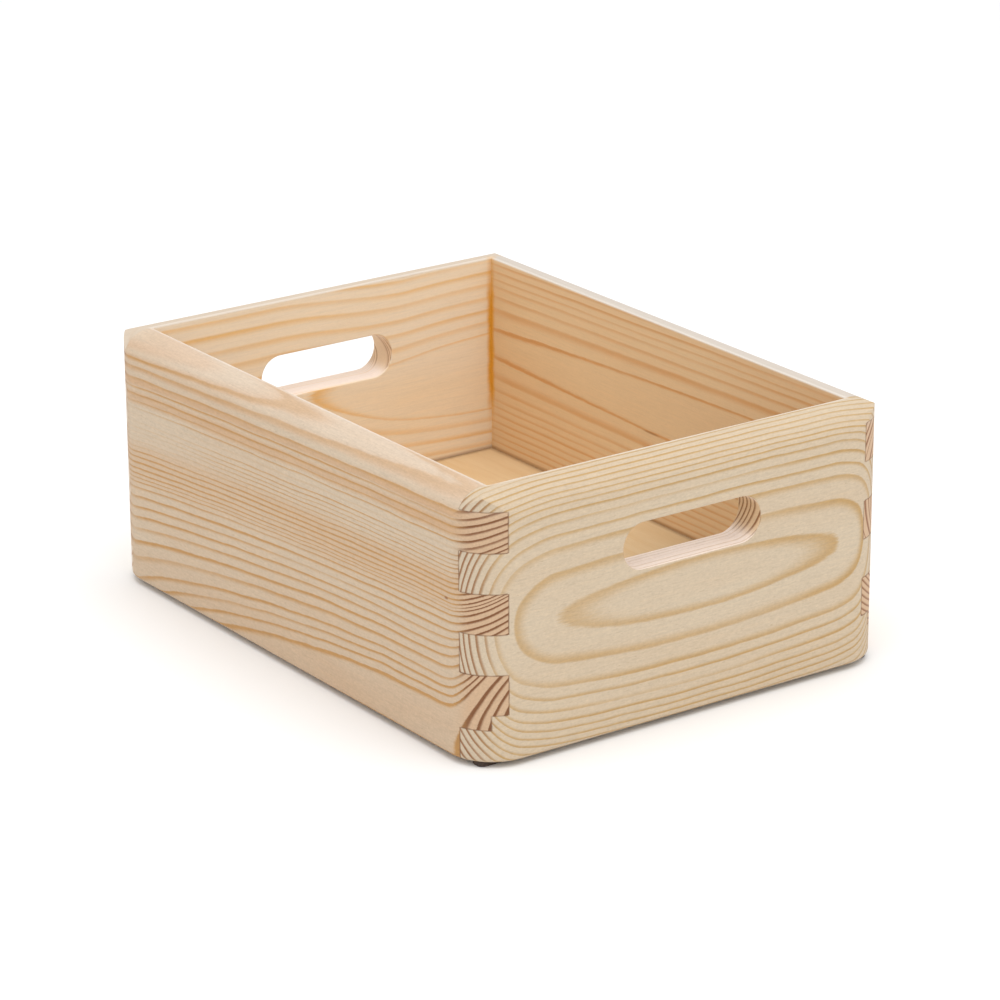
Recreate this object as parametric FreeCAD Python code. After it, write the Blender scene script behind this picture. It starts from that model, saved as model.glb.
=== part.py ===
"""A finger-jointed pine crate: four boards glued round a captured floor panel, on two glide strips.

X runs along the long sides, Y across the crate and Z up.  The origin is the middle of the footprint, on
the surface that the crate stands on.  All sizes are in millimetres.
"""
import FreeCAD, Part

import os

# Driving dimensions of the crate
LENGTH = 380.0            # outside, along X
WIDTH = 284.0             # outside, along Y
WALL_HEIGHT = 152.0       # from the boards' lower edge to the rim
BOARD = 20.0              # thickness of all four boards
STRIP_THICK = 3.0         # the glide strips lift the boards this far off the ground

# How the outside is rounded
CORNER_RADIUS = 28.0      # upright corners, seen from above
RIM_ROUND = 16.0          # outer edge of each board's rim, run straight out at the corners
FOOT_ROUND = 3.0          # outer lower edge of the boards
ARRIS = 0.8               # every other edge that a hand meets

# Finger joints, as heights above the boards' lower edge
FINGER = 23.0             # height of one finger
SIDE_FINGERS = 3          # full fingers that a side board has at each end
GROOVE_LOW = 19.0         # lower cheek of the groove that holds the floor
GROOVE_HIGH = 27.5        # upper cheek, where the regular fingers start
GROOVE_DEPTH = 8.5

# Floor panel
PANEL_THICK = 8.4         # snug in the groove
PANEL_TONGUE = 7.5        # how far the panel reaches into the grooves

# Hand-holes, one in each end board
HOLE_LENGTH = 94.0
HOLE_HEIGHT = 27.0
HOLE_CENTRE = 104.5       # above the boards' lower edge

# Glide strips under the end boards
STRIP_WIDTH = 10.0
STRIP_INSET_X = 9.5       # back from the end face
STRIP_INSET_Y = 7.0       # short of the side faces
STRIP_CORNER = 4.0

# Panel pins that hold each strip
PINS_PER_STRIP = 4
PIN_MARGIN = 26.0         # from a strip's end to its first pin
PIN_LENGTH = 15.0
PIN_RADIUS = 0.7
PIN_HEAD_RADIUS = 1.5
PIN_HEAD_THICK = 0.7
PIN_HEAD_SUNK = 0.3       # how far inside the strip a head lies

# Worked out from the above
HALF_LENGTH = LENGTH / 2
HALF_WIDTH = WIDTH / 2
INSIDE_X = HALF_LENGTH - BOARD
INSIDE_Y = HALF_WIDTH - BOARD
FOOT = STRIP_THICK        # height of the boards' lower edge
RIM = FOOT + WALL_HEIGHT
STRIP_X = HALF_LENGTH - STRIP_INSET_X - STRIP_WIDTH / 2
STRIP_HALF_Y = HALF_WIDTH - STRIP_INSET_Y
OVERSHOOT = 5.0           # how far a cutting tool runs past what it cuts
TINY = 1e-4
UP = FreeCAD.Vector(0, 0, 1)


def box(x_span, y_span, z_span):
    """A box from three spans, each given in either order."""
    spans = [sorted(span) for span in (x_span, y_span, z_span)]
    corner = FreeCAD.Vector(*(low for low, high in spans))
    return Part.makeBox(*(high - low for low, high in spans), corner)


def level_edges(shape, height):
    """The edges that lie at one height."""
    return [e for e in shape.Edges
            if abs(e.BoundBox.ZMin - height) < TINY and abs(e.BoundBox.ZMax - height) < TINY]


def upright_edges(shape):
    """The straight edges that run along Z."""
    return [e for e in shape.Edges
            if e.BoundBox.ZLength > 1.0 and e.BoundBox.XLength < TINY and e.BoundBox.YLength < TINY]


def wall_ring():
    """The four walls as one ring, rounded and eased, before the boards are told apart."""
    block = box((-HALF_LENGTH, HALF_LENGTH), (-HALF_WIDTH, HALF_WIDTH), (FOOT, RIM))
    post = block.makeFillet(CORNER_RADIUS, upright_edges(block))
    # The rim is rounded on the straight boards, so that its rounds meet in a mitre at each corner.
    block = block.makeFillet(RIM_ROUND, level_edges(block, RIM)).common(post)
    block = block.makeFillet(FOOT_ROUND, level_edges(block, FOOT))
    ring = block.cut(box((-INSIDE_X, INSIDE_X), (-INSIDE_Y, INSIDE_Y), (FOOT - OVERSHOOT, RIM + OVERSHOOT)))
    inner_edges = [e for z in (FOOT, RIM) for e in level_edges(ring, z)
                   if abs(e.CenterOfMass.x) < INSIDE_X + TINY and abs(e.CenterOfMass.y) < INSIDE_Y + TINY]
    return ring.makeFillet(ARRIS, inner_edges)


def side_fingers(sx, sy):
    """What a side board claims of one corner column: its fingers, and the lip on its lowest one."""
    x_span = (sx * INSIDE_X, sx * (HALF_LENGTH + OVERSHOOT))
    y_outside = sy * (HALF_WIDTH + OVERSHOOT)
    fingers = []
    for number in range(SIDE_FINGERS):
        low = FOOT + GROOVE_HIGH + number * 2 * FINGER
        fingers.append(box(x_span, (sy * INSIDE_Y, y_outside), (low, low + FINGER)))
    # The lip covers the end of the groove in the end board, whose stub plugs the side board's own groove.
    lip = box(x_span, (sy * (INSIDE_Y + GROOVE_DEPTH), y_outside), (FOOT + GROOVE_LOW, FOOT + GROOVE_HIGH))
    return fingers + [lip]


def side_board(ring, sy):
    """One long board, grooved along its whole inner face."""
    claim = box((-INSIDE_X, INSIDE_X), (sy * INSIDE_Y, sy * (HALF_WIDTH + OVERSHOOT)), (0, RIM + OVERSHOOT))
    claim = claim.fuse(side_fingers(-1, sy) + side_fingers(1, sy))
    groove = box((-HALF_LENGTH - OVERSHOOT, HALF_LENGTH + OVERSHOOT),
                 (0, sy * (INSIDE_Y + GROOVE_DEPTH)), (FOOT + GROOVE_LOW, FOOT + GROOVE_HIGH))
    return ring.common(claim).cut(groove).removeSplitter()


def end_board(ring, sx):
    """One short board with its hand-hole; it takes what the side boards leave of the corners."""
    claim = box((sx * INSIDE_X, sx * (HALF_LENGTH + OVERSHOOT)),
                (-HALF_WIDTH - OVERSHOOT, HALF_WIDTH + OVERSHOOT), (0, RIM + OVERSHOOT))
    claim = claim.cut(side_fingers(sx, -1) + side_fingers(sx, 1))
    groove = box((0, sx * (INSIDE_X + GROOVE_DEPTH)), (-HALF_WIDTH, HALF_WIDTH),
                 (FOOT + GROOVE_LOW, FOOT + GROOVE_HIGH))
    board = ring.common(claim).cut(groove).removeSplitter()
    return cut_hand_hole(board, sx)


def cut_hand_hole(board, sx):
    """Cut the slot with full-round ends that a hand goes through, and ease both of its rims."""
    radius = HOLE_HEIGHT / 2
    reach = HOLE_LENGTH / 2 - radius
    height = FOOT + HOLE_CENTRE
    x_low, x_high = sorted((sx * (INSIDE_X - OVERSHOOT), sx * (HALF_LENGTH + OVERSHOOT)))
    slot = box((x_low, x_high), (-reach, reach), (height - radius, height + radius))
    for y in (-reach, reach):
        centre = FreeCAD.Vector(x_low, y, height)
        slot = slot.fuse(Part.makeCylinder(radius, x_high - x_low, centre, FreeCAD.Vector(1, 0, 0)))
    board = board.cut(slot.removeSplitter())
    faces_x = (sx * INSIDE_X, sx * HALF_LENGTH)
    rims = [e for e in board.Edges
            if e.BoundBox.XLength < TINY and min(abs(e.BoundBox.XMin - x) for x in faces_x) < TINY
            and abs(e.CenterOfMass.y) < HOLE_LENGTH / 2
            and abs(e.CenterOfMass.z - height) < radius + TINY]
    return board.makeFillet(ARRIS, rims)


def pin_places(sx):
    """Where the pins go up into one end board, evenly spaced along its strip."""
    first = -STRIP_HALF_Y + PIN_MARGIN
    step = -2 * first / (PINS_PER_STRIP - 1)
    return [FreeCAD.Vector(sx * STRIP_X, first + n * step, PIN_HEAD_SUNK) for n in range(PINS_PER_STRIP)]


def pin(place):
    """A flat-headed panel pin standing on its head."""
    head = Part.makeCylinder(PIN_HEAD_RADIUS, PIN_HEAD_THICK, place, UP)
    return head.fuse(Part.makeCylinder(PIN_RADIUS, PIN_LENGTH, place, UP)).removeSplitter()


def pin_hole(place):
    """The room that a pin takes up, open below its head."""
    well = Part.makeCylinder(PIN_HEAD_RADIUS, PIN_HEAD_SUNK + OVERSHOOT, place - UP * OVERSHOOT, UP)
    return pin(place).fuse(well)


def glide_strip(sx):
    """The thin strip under one end board, with rounded corners and an eased lower edge."""
    x_span = (sx * (STRIP_X - STRIP_WIDTH / 2), sx * (STRIP_X + STRIP_WIDTH / 2))
    strip = box(x_span, (-STRIP_HALF_Y, STRIP_HALF_Y), (0, STRIP_THICK))
    strip = strip.makeFillet(STRIP_CORNER, upright_edges(strip))
    strip = strip.makeFillet(ARRIS, level_edges(strip, 0))
    return strip.cut([pin_hole(place) for place in pin_places(sx)])


def floor_panel():
    """The plywood floor, held in the grooves of all four boards."""
    half_x = INSIDE_X + PANEL_TONGUE
    half_y = INSIDE_Y + PANEL_TONGUE
    low = FOOT + GROOVE_LOW
    return box((-half_x, half_x), (-half_y, half_y), (low, low + PANEL_THICK))


def crate():
    """Every node of the crate by name."""
    ring = wall_ring()
    nodes = {"side_board_left": side_board(ring, -1), "side_board_right": side_board(ring, 1)}
    for name, sx in (("front", 1), ("rear", -1)):
        nodes[f"end_board_{name}"] = end_board(ring, sx).cut([pin(place) for place in pin_places(sx)])
        nodes[f"glide_strip_{name}"] = glide_strip(sx)
    nodes["floor_panel"] = floor_panel()
    nodes["strip_pins"] = Part.makeCompound([pin(place) for sx in (-1, 1) for place in pin_places(sx)])
    return nodes


os.makedirs("parts", exist_ok=True)
for name, shape in crate().items():
    shape.exportStep(f"parts/{name}.step")
    print(f"{name}: {len(shape.Solids)} solid(s), {shape.Volume / 1000:.1f} cm3, valid {shape.isValid()}")
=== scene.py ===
"""A finger-jointed pine crate on a pale studio floor.

The boards, floor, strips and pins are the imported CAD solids.  What is made here is their wood: every board
is cut from a log of its own, so the growth rings are worked out in three dimensions and run through from
the long faces to the end grain.  Lengths inside the wood are in millimetres, and in the studio in metres.
"""

import math
from collections import namedtuple

import bpy
from mathutils import Matrix, Vector


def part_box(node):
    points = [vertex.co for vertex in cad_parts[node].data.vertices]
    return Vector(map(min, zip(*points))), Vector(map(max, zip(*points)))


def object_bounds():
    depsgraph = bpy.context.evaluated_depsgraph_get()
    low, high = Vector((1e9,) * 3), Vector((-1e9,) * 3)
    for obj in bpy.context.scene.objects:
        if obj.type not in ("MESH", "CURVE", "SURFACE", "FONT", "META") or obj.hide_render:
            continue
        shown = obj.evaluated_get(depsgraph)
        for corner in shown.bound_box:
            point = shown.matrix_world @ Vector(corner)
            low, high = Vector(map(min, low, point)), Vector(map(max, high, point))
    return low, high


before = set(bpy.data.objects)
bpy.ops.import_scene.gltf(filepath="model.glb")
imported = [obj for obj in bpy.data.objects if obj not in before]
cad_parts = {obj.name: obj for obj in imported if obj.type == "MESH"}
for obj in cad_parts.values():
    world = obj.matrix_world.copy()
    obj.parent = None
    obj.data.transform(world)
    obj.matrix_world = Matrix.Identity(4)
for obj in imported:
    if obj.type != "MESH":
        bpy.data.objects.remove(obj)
cad_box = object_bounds()

MM = 0.001

# Sizes that the wood is laid out by, in millimetres.  Heights are above the boards' lower edge.
HALF_LENGTH, HALF_WIDTH, TOP = (size / MM for size in cad_box[1])
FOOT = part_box("glide_strip_front")[1][2] / MM        # how far the boards' lower edge is off the ground
RIM = TOP - FOOT
BOARD = 20.0                                         # thickness of the boards
INSIDE_X, INSIDE_Y = HALF_LENGTH - BOARD, HALF_WIDTH - BOARD         # inner faces of the boards
GROOVE_LOW, GROOVE_TOP = 19.0, 27.5                  # the groove that holds the floor
FINGER = 23.0                                        # height of one finger; the first starts at GROOVE_TOP
LIP_FACE = INSIDE_Y + 8.5                            # inner face of the lip that covers the groove's end
HOLE_LENGTH, HOLE_HEIGHT, HOLE_CENTRE = 94.0, 27.0, 104.5            # the hand-holes


# ---------------------------------------------------------------------------------------------------------
# Numbers and colours over a surface

def calculation(operation):
    """A method of Field that does one operation of the math node."""
    return lambda field, *others: field.calculate(operation, *others)


class Field:
    """A number at every point of a surface: a node socket that formulas can be written with."""

    def __init__(self, tree, socket):
        self.tree = tree
        self.socket = socket

    def calculate(self, operation, *others, clamp=False):
        node = self.tree.nodes.new("ShaderNodeMath")
        node.operation = operation
        node.use_clamp = clamp
        for place, value in zip(node.inputs, (self,) + others):
            feed(self.tree, value, place)
        return Field(self.tree, node.outputs["Value"])

    __add__ = calculation("ADD")
    __sub__ = calculation("SUBTRACT")
    __mul__ = calculation("MULTIPLY")
    __truediv__ = calculation("DIVIDE")
    __pow__ = calculation("POWER")
    __abs__ = calculation("ABSOLUTE")
    above = calculation("GREATER_THAN")
    below = calculation("LESS_THAN")
    at_least = calculation("MAXIMUM")
    at_most = calculation("MINIMUM")
    exponential = calculation("EXPONENT")
    sqrt = calculation("SQRT")
    floor = calculation("FLOOR")
    fraction = calculation("FRACT")

    def __rsub__(self, other):
        return self.calculate("MULTIPLY_ADD", -1.0, other)

    def clamped(self):
        """Held between 0 and 1."""
        return self.calculate("ADD", 0.0, clamp=True)

    def rise(self, start, end, low=0.0, high=1.0):
        """Goes smoothly from low at start to high at end, and stays there."""
        node = self.tree.nodes.new("ShaderNodeMapRange")
        node.interpolation_type = "SMOOTHSTEP"
        names = ("Value", "From Min", "From Max", "To Min", "To Max")
        for name, value in zip(names, (self, start, end, low, high)):
            feed(self.tree, value, node.inputs[name])
        return Field(self.tree, node.outputs["Result"])


def feed(tree, value, place):
    """Links a field, a socket or a plain value to a node's input."""
    if isinstance(value, Field):
        value = value.socket
    if isinstance(value, bpy.types.NodeSocket):
        tree.links.new(value, place)
    else:
        place.default_value = value


def vector(tree, x, y, z):
    """Three numbers as one vector."""
    node = tree.nodes.new("ShaderNodeCombineXYZ")
    for value, place in zip((x, y, z), node.inputs):
        feed(tree, value, place)
    return node.outputs["Vector"]


def noise(tree, place, detail=2.0, roughness=0.5):
    """Smooth noise about zero, reaching about half a unit each way, whose features are a unit apart."""
    node = tree.nodes.new("ShaderNodeTexNoise")
    feed(tree, place, node.inputs["Vector"])
    node.inputs["Scale"].default_value = 1.0
    node.inputs["Detail"].default_value = detail
    node.inputs["Roughness"].default_value = roughness
    return Field(tree, node.outputs["Fac"]) - 0.5


def curve(field, points):
    """A smooth curve of a field through given points (field, value), of which the last value isn't 0.

    The node's curve lies in a square with sides of 1, so both axes are scaled to it, and the result back.
    """
    tree = field.tree
    node = tree.nodes.new("ShaderNodeFloatCurve")
    line = node.mapping.curves[0]
    start, end, top = points[0][0], points[-1][0], points[-1][1]
    for number, (x, y) in enumerate(points):
        place = ((x - start) / (end - start), y / top)
        if number < 2:                               # a new curve has two points already
            line.points[number].location = place
        else:
            line.points.new(*place)
    node.mapping.update()
    feed(tree, (field - start) / (end - start), node.inputs["Value"])
    return Field(tree, node.outputs["Value"]) * top


def srgb(red, green, blue):
    """A colour as it is read off a screen, 0 to 255, in the linear light that nodes work in."""
    def linear(value):
        value /= 255.0
        return value / 12.92 if value <= 0.04045 else ((value + 0.055) / 1.055) ** 2.4
    return (linear(red), linear(green), linear(blue), 1.0)


def mixed(tree, amount, colour, other):
    """The first colour where the amount is 0, and the other where it is 1."""
    node = tree.nodes.new("ShaderNodeMix")
    node.data_type = "RGBA"
    inputs = {socket.identifier: socket for socket in node.inputs}
    feed(tree, amount, inputs["Factor_Float"])
    feed(tree, colour, inputs["A_Color"])
    feed(tree, other, inputs["B_Color"])
    return next(socket for socket in node.outputs if socket.identifier == "Result_Color")


def scaled(tree, colour, factor):
    """A colour made lighter or darker."""
    node = tree.nodes.new("ShaderNodeVectorMath")
    node.operation = "SCALE"
    feed(tree, colour, node.inputs[0])
    feed(tree, factor, node.inputs["Scale"])
    return node.outputs["Vector"]


def new_material(name):
    """An empty material, its node tree and its shader."""
    material = bpy.data.materials.new(name)
    material.use_nodes = True
    tree = material.node_tree
    return material, tree, tree.nodes["Principled BSDF"]


def crate_place(tree):
    """Where a point is in the crate: X, Y and height above the boards' lower edge."""
    coordinates = tree.nodes.new("ShaderNodeTexCoord")
    split = tree.nodes.new("ShaderNodeSeparateXYZ")
    tree.links.new(coordinates.outputs["Object"], split.inputs[0])
    x, y, z = (Field(tree, socket) / MM for socket in split.outputs)
    return x, y, z - FOOT


def facing(tree, axis):
    """How squarely the surface faces along an axis: 1 straight across it, 0 on a face that runs along it."""
    geometry = tree.nodes.new("ShaderNodeNewGeometry")
    split = tree.nodes.new("ShaderNodeSeparateXYZ")
    tree.links.new(geometry.outputs["Normal"], split.inputs[0])
    return abs(Field(tree, split.outputs[axis]))


# ---------------------------------------------------------------------------------------------------------
# Pine

Board = namedtuple("Board", "tree x y z along across")       # where a point is, in the crate and to the grain
Tones = namedtuple("Tones", "early late ruddy end_early end_late rim")
Band = namedtuple("Band", "up half")                         # how high its middle is, and half its height
Knot = namedtuple("Knot", "along up reach rise strength")    # its middle, and half its length and height

# How squarely a surface faces along the grain where it begins to look like end grain, and where it is all so.
# That comes later on the end boards, whose rounded corners look more like their long faces.
END_GRAIN = {"X": (0.10, 0.55), "Y": (0.40, 0.92)}

# Colours that all the boards share
HOLE_WALL, HOLE_END_GRAIN = srgb(248, 234, 224), srgb(238, 200, 150)
# The colour of the painted highlight along the rim's inner edge
RIM_HIGHLIGHT = srgb(226, 218, 208)
KNOT = srgb(138, 92, 56)
GLUE = srgb(112, 76, 50)
RESIN = srgb(226, 168, 62)
# Painted shade for the crease where the inner walls meet the floor
FLOOR_CREASE_SHADE = srgb(150, 112, 74)
PORE = srgb(132, 96, 64)


def joint_lines(board):
    """How near a point is to a glue line of the finger joints: 1 on one, 0 about half a millimetre off."""
    waver = noise(board.tree, vector(board.tree, board.x / 3.0, board.y / 3.0, board.z / 3.0)) * 0.35
    x, y, z = abs(board.x), abs(board.y), board.z
    far = 1000.0
    end_face, side_face = x.above(INSIDE_X + 0.5), y.above(INSIDE_Y + 0.5)
    step = (z - GROOVE_TOP) / FINGER                 # height, counted in fingers
    side_finger = (step * 0.5).fraction().below(0.5) * z.above(GROOVE_TOP)
    lip = z.above(GROOVE_LOW) * z.below(GROOVE_TOP)
    on_lip = y.above(LIP_FACE)
    # The side boards' first finger and its lip are one piece, with no line between them.
    stepped = z.above(GROOVE_TOP - 1.0) * (1.0 - z.below(GROOVE_TOP + 1.0) * on_lip)

    nearest = abs((step + 0.5).fraction() - 0.5) * FINGER + (1.0 - end_face * side_face * stepped) * far
    for distance, shown in ((abs(z - GROOVE_LOW), end_face * on_lip),
                            (abs(y - INSIDE_Y), end_face * side_finger),
                            (abs(y - LIP_FACE), end_face * lip),
                            (abs(x - INSIDE_X), side_face * (1.0 - side_finger) * (1.0 - lip))):
        nearest = nearest.at_most(distance + (1.0 - shown) * far)
    return (nearest + waver).rise(0.62, 0.12)


def hole_wall(board):
    """1 on the walls of the hand-holes, 0 on every other face."""
    length = abs(board.y).below(HOLE_LENGTH / 2 + 0.5)
    height = abs(board.z - HOLE_CENTRE).below(HOLE_HEIGHT / 2 + 0.5)
    return length * height * abs(abs(board.x) - INSIDE_X - BOARD / 2).below(BOARD / 2 - 0.4)


def fibres(board, length, width, seed, **more):
    """Noise drawn out along the grain."""
    place = vector(board.tree, board.along / length, board.across / width, board.z / width + seed)
    return noise(board.tree, place, **more)


def growth(board, log, seed, rings, weight, coarse, hole):
    """How far a point is from the pith, how far through its year's ring, and how dark that year is drawn."""
    tree, along, across, z = board.tree, board.along, board.across, board.z
    # No log is straight: its rings wander gently along the grain, and more finely from fibre to fibre.
    wander = noise(tree, vector(tree, along / 120.0 + seed, across / 60.0, z / 50.0), detail=1.5) * 2.4
    ripple = noise(tree, vector(tree, along / 34.0, across / 25.0 + seed, z / 11.0)) * 1.6
    radius = log(along, across, z + (wander + ripple) * (coarse * 0.5 + 0.5))
    radius = radius + fibres(board, 9.0, 0.7, seed, roughness=0.7) * 0.4
    count = curve(radius, rings) * (hole * 0.4 + 1.0)
    # Some summers are darker than others.
    year = vector(tree, count.floor() * 7.31 + seed, 0.5, along / 160.0)
    vigour = (noise(tree, year, detail=1.0) * 2.0 + 0.95) * curve(radius, weight)
    return radius, count.fraction(), vigour


def summer(ring, start, full, until, power):
    """How dark a ring is: it darkens from start to full, and from until it fades to the end of the ring."""
    return ring.rise(start, full) ** power * ring.rise(1.0, until)


def rim(board, colour, inside, tone, cover):
    """The rim takes a colour of its own on its outer side, and a painted highlight runs pale along its inner
    edge.
    """
    outer = board.z.rise(RIM - 14.0, RIM - 1.0, 0.0, cover) * (1.0 - inside)
    colour = mixed(board.tree, outer, colour, tone)
    # Painted highlight: a pale line along the rim's inner edge, where light catches the arris.
    from_inside = (abs(board.x) - INSIDE_X).at_least(abs(board.y) - INSIDE_Y)
    edge = from_inside.rise(2.8, 0.8) * board.z.rise(RIM - 1.4, RIM - 0.4)
    return mixed(board.tree, edge * 0.5, colour, RIM_HIGHLIGHT)


def pin_knot(board, colour, knot):
    """A small dark oval in the board."""
    oval = ((board.along - knot.along) / knot.reach) ** 2.0 + ((board.z - knot.up) / knot.rise) ** 2.0
    return mixed(board.tree, oval.rise(1.0, 0.0) * knot.strength, colour, KNOT)


def glue_and_resin(board, colour, glue, seed):
    """Glue that shows in patches along the joints, and resin that has run down the far inner corner."""
    tree, x, y, z = board.tree, board.x, board.y, board.z
    patch = noise(tree, vector(tree, x / 5.0, y / 5.0, z / 5.0 + seed)).rise(-0.25, 0.15, 0.35, 0.95)
    from_rear = x.rise(-INSIDE_X, -INSIDE_X + BOARD, 0.15, 0.8)
    colour = mixed(tree, glue * patch * from_rear, colour, GLUE)

    from_corner = ((x + INSIDE_X) ** 2.0 + (y - INSIDE_Y) ** 2.0).sqrt() + patch * 0.8
    drip = noise(tree, vector(tree, 0.0, 0.0, z / 12.0 + seed)) * 3.0
    thickness = z.rise(44.0, 70.0, 0.12, 1.0) * z.rise(150.0, 120.0, 0.35, 1.0)
    return mixed(tree, (from_corner + drip).rise(5.0, 1.2) * thickness, colour, RESIN)


def foot_of_walls(board, colour, inside):
    """Painted shade darkens the inner walls just above the floor, in the crease where they meet it; low down
    towards the front the inner faces are painted paler, a painted pool of light.
    """
    # Painted shade: the inner walls darken just above the floor.
    crease_shade = board.z.rise(GROOVE_TOP + 3.0, GROOVE_TOP, 0.0, 0.6) * board.z.above(GROOVE_TOP - 0.5)
    colour = mixed(board.tree, crease_shade * inside, colour, FLOOR_CREASE_SHADE)
    # Painted light: low down towards the front the inner faces are made paler.
    pale = board.x.rise(50.0, 140.0) * board.z.rise(85.0, 50.0) * inside
    return scaled(board.tree, colour, pale * 0.25 + 1.0)


def pine(name, grain, log, seed, rings, weight, warmth, tones, rim_cover, coarse,
         ruddier=0.0, calm=None, knots=()):
    """Pine whose rings are those of one log, with its grain along X or Y.

    log(along, across, height) is the distance from the pith.  Three curves of that distance are given:
    rings counts the rings inside it, weight is how dark they are drawn, and warmth how ruddy the wood is.
    tones are its colours, and rim_cover is how far the rim's colour covers the others at the top.
    coarse is 1 for a board with strong fibres and pores, and less for a smooth one with soft lines.
    ruddier is how much ruddier the wood grows along the board, from its middle on.
    calm is a band of heights where the rings fade towards the rear, and knots are small pin knots.
    """
    material, tree, shader = new_material(name)
    x, y, z = crate_place(tree)
    along, across = (x, y) if grain == "X" else (y, x)
    board = Board(tree, x, y, z, along, across)
    hole = hole_wall(board)
    inside = abs(x).below(INSIDE_X + 0.3) * abs(y).below(INSIDE_Y + 0.3) * z.below(RIM - 0.4)

    radius, ring, vigour = growth(board, log, seed, rings, weight, coarse, hole)
    if grain == "X":
        # The rings of the side boards fade at their rear end.
        vigour = vigour * along.rise(-186.0, -145.0, 0.2, 1.0)
    if calm:
        quiet = abs(z - calm.up).rise(calm.half + 6.0, calm.half - 5.0) * along.rise(-10.0, -130.0)
        vigour = vigour * (quiet * -0.75 + 1.0)

    # Each ring darkens slowly through its summer growth and ends sharply, but softly on a smooth board.
    start, peak = (0.45, 0.90) if coarse > 0.5 else (0.32, 0.82)
    streak = fibres(board, 30.0, 1.1, 0.0, detail=3.0, roughness=0.65)
    late = (summer(ring, start, peak, peak, 1.5) * vigour + streak * 0.4).clamped()
    late_cut = (summer(ring, 0.42, 0.78, 0.90, 1.3) * (vigour * 0.3 + 0.75) + streak * 0.4).clamped()

    # The walls of the hand-hole are fresh cuts, paler and pinker than the planed faces.
    drift = noise(tree, vector(tree, along / 150.0, across / 25.0, z / 26.0 + seed)) * 0.8
    blush = (curve(radius, warmth) + drift + along.rise(0.0, 160.0, 0.0, ruddier)).clamped()
    early = mixed(tree, hole * 0.85, mixed(tree, blush, tones.early, tones.ruddy), HOLE_WALL)
    long_face = mixed(tree, late * (hole * -0.55 + 1.0), early, tones.late)
    early_cut = mixed(tree, hole * 0.5, tones.end_early, HOLE_END_GRAIN)
    end_face = mixed(tree, late_cut, early_cut, tones.end_late)
    colour = mixed(tree, facing(tree, grain).rise(*END_GRAIN[grain]), long_face, end_face)

    colour = rim(board, colour, inside, tones.rim, rim_cover)
    for knot in knots:
        colour = pin_knot(board, colour, knot)
    glue = joint_lines(board) * z.rise(RIM - 5.0, RIM - 12.0, 0.15, 1.0)
    colour = glue_and_resin(board, colour, glue, seed)
    colour = foot_of_walls(board, colour, inside)

    # Pores and fibres
    pore = fibres(board, 3.2, 0.6, seed, detail=0.0).rise(0.26, 0.38)
    colour = mixed(tree, pore * coarse * 0.22, colour, PORE)
    grit = fibres(board, 6.0, 0.9, seed, detail=3.0, roughness=0.85)
    mottle = fibres(board, 1.6, 1.2, seed, detail=1.0)
    colour = scaled(tree, colour, (grit * 0.38 + mottle * 0.18) * coarse + streak * 0.22 + 1.0)
    feed(tree, colour, shader.inputs["Base Color"])

    bump = tree.nodes.new("ShaderNodeBump")
    bump.inputs["Strength"].default_value = 0.35
    bump.inputs["Distance"].default_value = 0.12 * MM
    feed(tree, late * 0.7 + grit * 0.6 - glue * 1.5, bump.inputs["Height"])
    feed(tree, bump.outputs["Normal"], shader.inputs["Normal"])
    feed(tree, late * -0.10 + 0.62, shader.inputs["Roughness"])
    shader.inputs["Specular IOR Level"].default_value = 0.30
    return material


# ---------------------------------------------------------------------------------------------------------
# The four boards, each with its own log

def from_pith(away, height):
    """The distance from the pith of a point that is so far away from it sideways and in height."""
    return (height * height + away * away).sqrt()


def log_left(along, across, z):
    """The near side board: a pith well inside the crate, and lines that climb and close up to the front."""
    pith_in, pith_up = 60.0, 2.0
    bend = 100.0                                     # rearwards from here the lines fall faster
    behind = (bend - along).at_least(0.0)
    ahead = (along - bend).at_least(0.0)
    fall = (behind / 250.0) ** 1.5 * 7.0 + behind * 0.13 * (z / -60.0).exponential()
    climb = ahead * 0.02 + along.rise(152.0, 194.0, 0.0, 8.0) * z.rise(85.0, 45.0)
    return from_pith(pith_in - (across + HALF_WIDTH), z - pith_up + fall - climb)


def log_front(along, across, z):
    """The near end board: long closed ovals about a pith well in front of it."""
    reach = (along - 8.0) / 100.0
    ends = along.rise(-90.0, -150.0, 62.0, 69.0) + along.rise(98.0, 172.0, 0.0, 12.0)
    pith_out = reach * reach * 2.0 + ends
    pith_up = along * along * 0.0002 + 74.5
    return from_pith(pith_out + HALF_LENGTH - across, z - pith_up)


def log_right(along, across, z):
    """The far side board: a wide pale band on its inner face that opens towards the front."""
    pith_out = along * -0.0095 + 31.0
    pith_up = along * 0.006 + 98.5
    return from_pith(pith_out + HALF_WIDTH - across, z - pith_up)


def log_rear(along, across, z):
    """The far end board: a pale tongue on its inner face that comes in from the right-hand side."""
    pith_out = along.rise(-60.0, 130.0, 32.0, 24.0)
    pith_up = along.rise(-40.0, 60.0, 89.0, 78.5)
    return from_pith(pith_out + HALF_LENGTH + across, z - pith_up)


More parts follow.
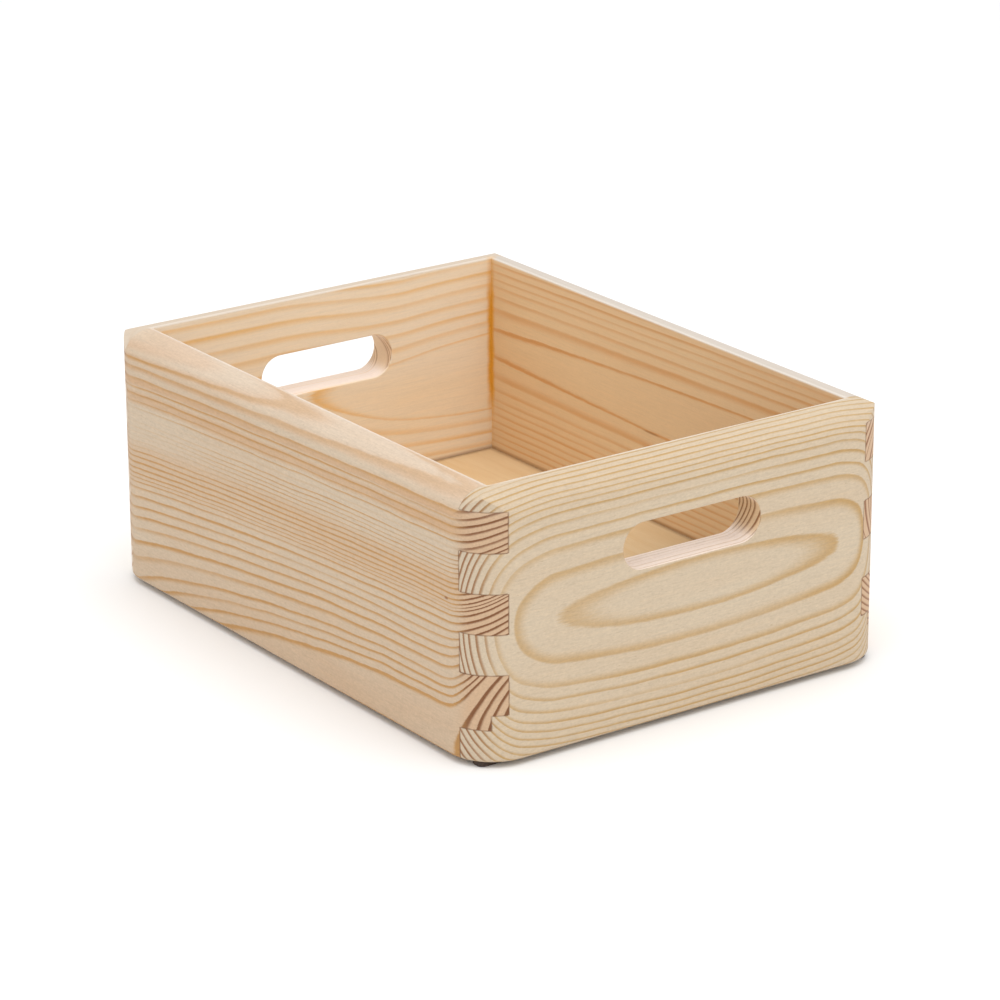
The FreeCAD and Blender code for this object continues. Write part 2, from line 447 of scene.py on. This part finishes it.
# Radius in millimetres, and how many rings lie inside it
LEFT_RINGS = ((20, 0), (36, 1), (46, 2), (51, 3), (55.5, 4), (60, 5), (63, 5.3), (65.4, 6), (67.6, 7),
              (70, 8), (72.7, 9), (76.8, 10), (84.2, 12), (91.4, 14), (98.4, 16), (104, 19), (111.4, 22),
              (118.8, 25), (128, 29), (131.5, 30), (135, 31), (142.3, 33), (150.5, 35), (156.4, 36),
              (160.6, 37), (168, 38), (190, 42))
FRONT_RINGS = ((50, 1.6), (61.6, 2.25), (64.1, 3), (69.3, 4), (75.7, 5), (79.8, 6), (84.2, 7), (88, 8),
               (91.2, 9), (94.2, 10), (97.2, 11), (140, 22))
RIGHT_RINGS = ((10, 0), (30, 3), (38, 6), (45, 9), (50, 10.1), (52.6, 10.35), (53.7, 11), (57.9, 12),
               (61.4, 13), (64.9, 14), (67.6, 15), (72.6, 16.5), (75.8, 17.5), (79.2, 18.5), (84, 20),
               (120, 31))
REAR_RINGS = ((10, 0), (30, 4), (40, 8.02), (47, 8.2), (49.6, 8.4), (51, 9), (55.5, 10), (60.5, 11),
              (66.3, 12), (73, 13), (79.5, 14), (120, 21))

# Radius, and how strongly the rings are drawn there
LEFT_WEIGHT = ((10, 1.1), (62, 1.3), (66, 1.4), (72, 1.0), (96, 1.0), (103, 1.5), (112, 1.8), (117, 0.9),
               (127, 1.1), (131.5, 0.2), (136, 1.0), (147, 0.9), (156, 0.8), (160.6, 1.3), (166, 0.6),
               (190, 0.6))
FRONT_WEIGHT = ((0, 0.6), (62, 0.65), (66, 0.8), (70, 0.72), (76, 0.75), (84, 0.85), (95, 1.0), (200, 1.0))
RIGHT_WEIGHT = ((20, 0.55), (51, 0.6), (54, 1.1), (57, 0.75), (62, 0.65), (200, 0.6))
REAR_WEIGHT = ((15, 0.8), (51, 1.0), (56, 0.75), (200, 0.7))

# Radius, and how ruddy the wood is there
LEFT_WARMTH = ((10, 0.6), (60, 0.45), (68, 0.35), (92, 0.2), (100, 0.45), (110, 0.5), (118, 0.15), (130, 0.0),
               (136, 0.2), (141, 0.9), (145, 0.25), (148, 1.0), (152, 0.1), (155, 0.8), (157.5, 0.2),
               (160, 1.0), (162, 0.3), (164.5, 1.0), (168, 0.05), (190, 0.1))
EVEN_WARMTH = ((0, 0.3), (200, 0.3))

LEFT_TONES = Tones(
    early=srgb(200, 181, 157), late=srgb(183, 138, 82), ruddy=srgb(196, 161, 126),
    end_early=srgb(200, 168, 136), end_late=srgb(124, 80, 48), rim=srgb(226, 215, 202))
FRONT_TONES = Tones(
    early=srgb(203, 187, 163), late=srgb(184, 149, 98), ruddy=srgb(199, 174, 144),
    end_early=srgb(200, 183, 159), end_late=srgb(146, 104, 70), rim=srgb(208, 194, 172))
RIGHT_TONES = Tones(
    early=srgb(230, 203, 164), late=srgb(212, 158, 102), ruddy=srgb(224, 188, 145),
    end_early=srgb(204, 172, 140), end_late=srgb(140, 94, 60), rim=srgb(198, 190, 181))
REAR_TONES = Tones(
    early=srgb(242, 230, 212), late=srgb(236, 193, 130), ruddy=srgb(244, 217, 176),
    end_early=srgb(214, 198, 178), end_late=srgb(184, 148, 116), rim=srgb(199, 182, 163))


def boards():
    """The pine of every board, by its node."""
    return {
        "side_board_left": pine(
            "pine_side_left", "X", log_left, seed=3.0, rings=LEFT_RINGS, weight=LEFT_WEIGHT,
            warmth=LEFT_WARMTH, tones=LEFT_TONES, rim_cover=0.3, coarse=1.0, calm=Band(up=99.0, half=13.0),
            knots=[Knot(along=160.0, up=90.0, reach=2.2, rise=1.1, strength=0.9)]),
        "end_board_front": pine(
            "pine_end_front", "Y", log_front, seed=11.0, rings=FRONT_RINGS, weight=FRONT_WEIGHT,
            warmth=EVEN_WARMTH, tones=FRONT_TONES, rim_cover=0.0, coarse=1.0),
        "side_board_right": pine(
            "pine_side_right", "X", log_right, seed=23.0, rings=RIGHT_RINGS, weight=RIGHT_WEIGHT,
            warmth=EVEN_WARMTH, tones=RIGHT_TONES, rim_cover=0.9, coarse=0.3, ruddier=0.5,
            knots=[Knot(along=-6.0, up=82.4, reach=10.0, rise=1.0, strength=0.5)]),
        "end_board_rear": pine(
            "pine_end_rear", "Y", log_rear, seed=31.0, rings=REAR_RINGS, weight=REAR_WEIGHT,
            warmth=EVEN_WARMTH, tones=REAR_TONES, rim_cover=0.9, coarse=0.3),
    }


# ---------------------------------------------------------------------------------------------------------
# Floor, strips and pins

def plywood():
    """The smooth birch face of the floor panel, with painted shade along the walls and a painted shadow of
    the front wall that darkens it towards the front.
    """
    material, tree, shader = new_material("plywood")
    x, y, z = crate_place(tree)
    wave = noise(tree, vector(tree, x / 160.0, y / 26.0, 0.0)) * 2.0
    figure = noise(tree, vector(tree, x / 60.0, y / 5.0 + wave, 4.0), detail=3.0)
    fleck = noise(tree, vector(tree, x / 6.0, y / 0.5, z / 0.5), roughness=0.7)
    colour = mixed(tree, figure.rise(-0.25, 0.30), srgb(222, 196, 156), srgb(216, 186, 142))
    # Painted shade: the floor darkens in a band along the foot of the walls.
    shade_margin = 4.0                                     # width of the darker edge
    into_shade_margin = (abs(x) - INSIDE_X).at_least(abs(y) - INSIDE_Y) + shade_margin + figure * 1.2
    colour = mixed(tree, into_shade_margin.rise(0.0, shade_margin) * 0.5, colour, srgb(140, 102, 66))
    # Painted shadow of the front wall: the floor grows darker towards the front; the flecks are its own.
    colour = scaled(tree, colour, fleck * 0.12 + x.rise(-60.0, 120.0, 1.04, 0.66))
    feed(tree, colour, shader.inputs["Base Color"])
    shader.inputs["Roughness"].default_value = 0.55
    shader.inputs["Specular IOR Level"].default_value = 0.30
    return material


def dark_strip():
    """Beech, nearly black, with browner streaks along its grain."""
    material, tree, shader = new_material("brown_strip")
    x, y, z = crate_place(tree)
    grain = noise(tree, vector(tree, x / 0.8, y / 14.0, z / 0.8), detail=3.0, roughness=0.65)
    colour = mixed(tree, grain.rise(-0.3, 0.3), srgb(30, 20, 14), srgb(74, 50, 34))
    feed(tree, colour, shader.inputs["Base Color"])
    feed(tree, grain * 0.2 + 0.55, shader.inputs["Roughness"])
    return material


def pin_steel():
    """Dull drawn steel, with the marks of the die."""
    material, tree, shader = new_material("pin_steel")
    x, y, z = crate_place(tree)
    mark = noise(tree, vector(tree, x / 0.3, y / 0.3, z / 4.0), detail=3.0)
    colour = mixed(tree, mark.rise(-0.3, 0.3), srgb(150, 148, 144), srgb(186, 184, 180))
    feed(tree, colour, shader.inputs["Base Color"])
    feed(tree, mark * 0.2 + 0.38, shader.inputs["Roughness"])
    shader.inputs["Metallic"].default_value = 1.0
    return material


def dress_nodes():
    """Gives every CAD node its material."""
    materials = boards()
    materials["floor_panel"] = plywood()
    materials["glide_strip_front"] = materials["glide_strip_rear"] = dark_strip()
    materials["strip_pins"] = pin_steel()
    for node, material in materials.items():
        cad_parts[node].material_slots[0].material = material


# ---------------------------------------------------------------------------------------------------------
# Studio

def studio_floor():
    """A wide, plain, pale floor."""
    bpy.ops.mesh.primitive_plane_add(size=12.0)
    floor = bpy.context.object
    floor.name = "studio_floor"
    material, tree, shader = new_material("studio_floor")
    shader.inputs["Base Color"].default_value = (0.94, 0.94, 0.94, 1.0)
    shader.inputs["Roughness"].default_value = 0.9
    floor.data.materials.append(material)


def studio_light():
    """White light from all round, and one large soft lamp overhead."""
    world = bpy.data.worlds.new("studio")
    bpy.context.scene.world = world
    world.use_nodes = True
    background = world.node_tree.nodes["Background"]
    background.inputs["Color"].default_value = (1.0, 1.0, 1.0, 1.0)
    background.inputs["Strength"].default_value = 0.94

    light = bpy.data.lights.new("key", "AREA")
    light.shape = "SQUARE"
    light.size = 2.0
    light.energy = 23.0
    lamp = bpy.data.objects.new("key", light)
    lamp.location = (0.55, -0.15, 2.2)
    lamp.rotation_euler = (lamp.location - Vector((0.0, 0.0, 0.1))).to_track_quat("Z", "Y").to_euler()
    bpy.context.collection.objects.link(lamp)


def studio_camera():
    """The camera stands off the near corner, a little above the crate's rim."""
    azimuth, elevation, roll = (math.radians(angle) for angle in (54.5518, 19.8757, -0.256))
    distance = 2.39752
    target = Vector((0.0042052, 0.0040882, 0.07134))
    level = math.cos(elevation)
    back = Vector((math.sin(azimuth) * level, -math.cos(azimuth) * level, math.sin(elevation)))
    level_right = Vector((math.cos(azimuth), math.sin(azimuth), 0.0))
    level_up = back.cross(level_right)
    right = level_right * math.cos(roll) + level_up * math.sin(roll)
    up = level_up * math.cos(roll) - level_right * math.sin(roll)
    turn = Matrix((right, up, back)).transposed().to_4x4()
    camera = bpy.data.objects.new("camera", bpy.data.cameras.new("camera"))
    camera.data.lens = 149.110
    camera.data.sensor_width = 36.0
    camera.matrix_world = Matrix.Translation(target + back * distance) @ turn
    bpy.context.collection.objects.link(camera)
    bpy.context.scene.camera = camera


dress_nodes()
studio_floor()
studio_light()
studio_camera()
bpy.context.scene.view_settings.view_transform = "Standard"
